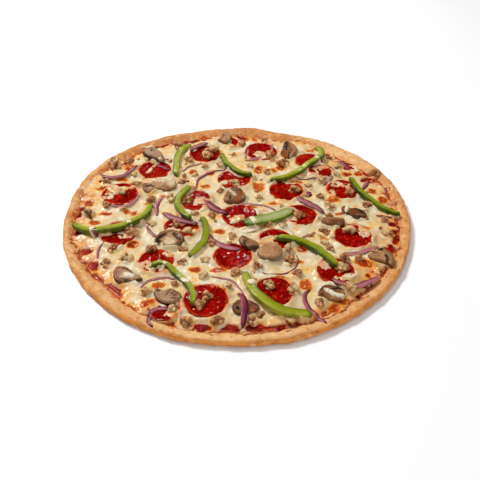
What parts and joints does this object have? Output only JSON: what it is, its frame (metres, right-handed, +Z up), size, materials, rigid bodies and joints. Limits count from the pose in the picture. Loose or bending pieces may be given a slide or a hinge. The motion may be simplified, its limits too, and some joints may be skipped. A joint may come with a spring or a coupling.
{
  "type": "thin crust pizza",
  "caption": "Whole round thin crust pizza with tomato sauce, melted cheese, pepperoni, sausage crumbles, mushroom slices, green pepper strips and red onion slivers.",
  "frame": {"origin": "centre of the flat underside", "axes": "+Z up through the pizza, +Y to the back of the pizza as served, +X to its right"},
  "size_m": [0.3589, 0.3583, 0.0184],
  "materials": {
    "baked_dough": "matt, floury, finely bumpy, golden with toasted patches",
    "tomato_sauce": "moist, semi-gloss, dark red",
    "melted_cheese": "oily semi-gloss, ivory with golden and orange browned spots",
    "pepperoni_meat": "oily gloss, deep red with an orange-red rim",
    "mushroom_flesh": "moist, grey-brown cap with dark gills",
    "green_pepper_flesh": "waxy gloss, yellow-green to dark green",
    "red_onion_flesh": "moist, pale pink to purple at the edges",
    "sausage_meat": "rough, grey-brown, flecked"
  },
  "bodies": {
    "root": {"cheese": "melted_cheese", "crust": "baked_dough", "mushroom_01": "mushroom_flesh", "mushroom_02": "mushroom_flesh", "mushroom_03": "mushroom_flesh", "mushroom_04": "mushroom_flesh", "mushroom_05": "mushroom_flesh", "mushroom_06": "mushroom_flesh", "mushroom_07": "mushroom_flesh", "mushroom_08": "mushroom_flesh", "mushroom_09": "mushroom_flesh", "mushroom_10": "mushroom_flesh", "mushroom_11": "mushroom_flesh", "mushroom_12": "mushroom_flesh", "mushroom_13": "mushroom_flesh", "mushroom_14": "mushroom_flesh", "mushroom_15": "mushroom_flesh", "mushroom_16": "mushroom_flesh", "onion_01": "red_onion_flesh", "onion_02": "red_onion_flesh", "onion_03": "red_onion_flesh", "onion_04": "red_onion_flesh", "onion_05": "red_onion_flesh", "onion_06": "red_onion_flesh", "onion_07": "red_onion_flesh", "pepper_01": "green_pepper_flesh", "pepper_02": "green_pepper_flesh", "pepper_03": "green_pepper_flesh", "pepper_04": "green_pepper_flesh", "pepper_05": "green_pepper_flesh", "pepper_06": "green_pepper_flesh", "pepper_07": "green_pepper_flesh", "pepper_08": "green_pepper_flesh", "pepper_09": "green_pepper_flesh", "pepper_10": "green_pepper_flesh", "pepper_11": "green_pepper_flesh", "pepperoni_01": "pepperoni_meat", "pepperoni_02": "pepperoni_meat", "pepperoni_03": "pepperoni_meat", "pepperoni_04": "pepperoni_meat", "pepperoni_05": "pepperoni_meat", "pepperoni_06": "pepperoni_meat", "pepperoni_07": "pepperoni_meat", "pepperoni_08": "pepperoni_meat", "pepperoni_09": "pepperoni_meat", "pepperoni_10": "pepperoni_meat", "pepperoni_11": "pepperoni_meat", "pepperoni_12": "pepperoni_meat", "pepperoni_13": "pepperoni_meat", "pepperoni_14": "pepperoni_meat", "pepperoni_15": "pepperoni_meat", "pepperoni_16": "pepperoni_meat", "pepperoni_17": "pepperoni_meat", "pepperoni_18": "pepperoni_meat", "pepperoni_19": "pepperoni_meat", "pepperoni_20": "pepperoni_meat", "pepperoni_21": "pepperoni_meat", "pepperoni_22": "pepperoni_meat", "pepperoni_23": "pepperoni_meat", "sauce": "tomato_sauce"}
  },
  "joints": []
}
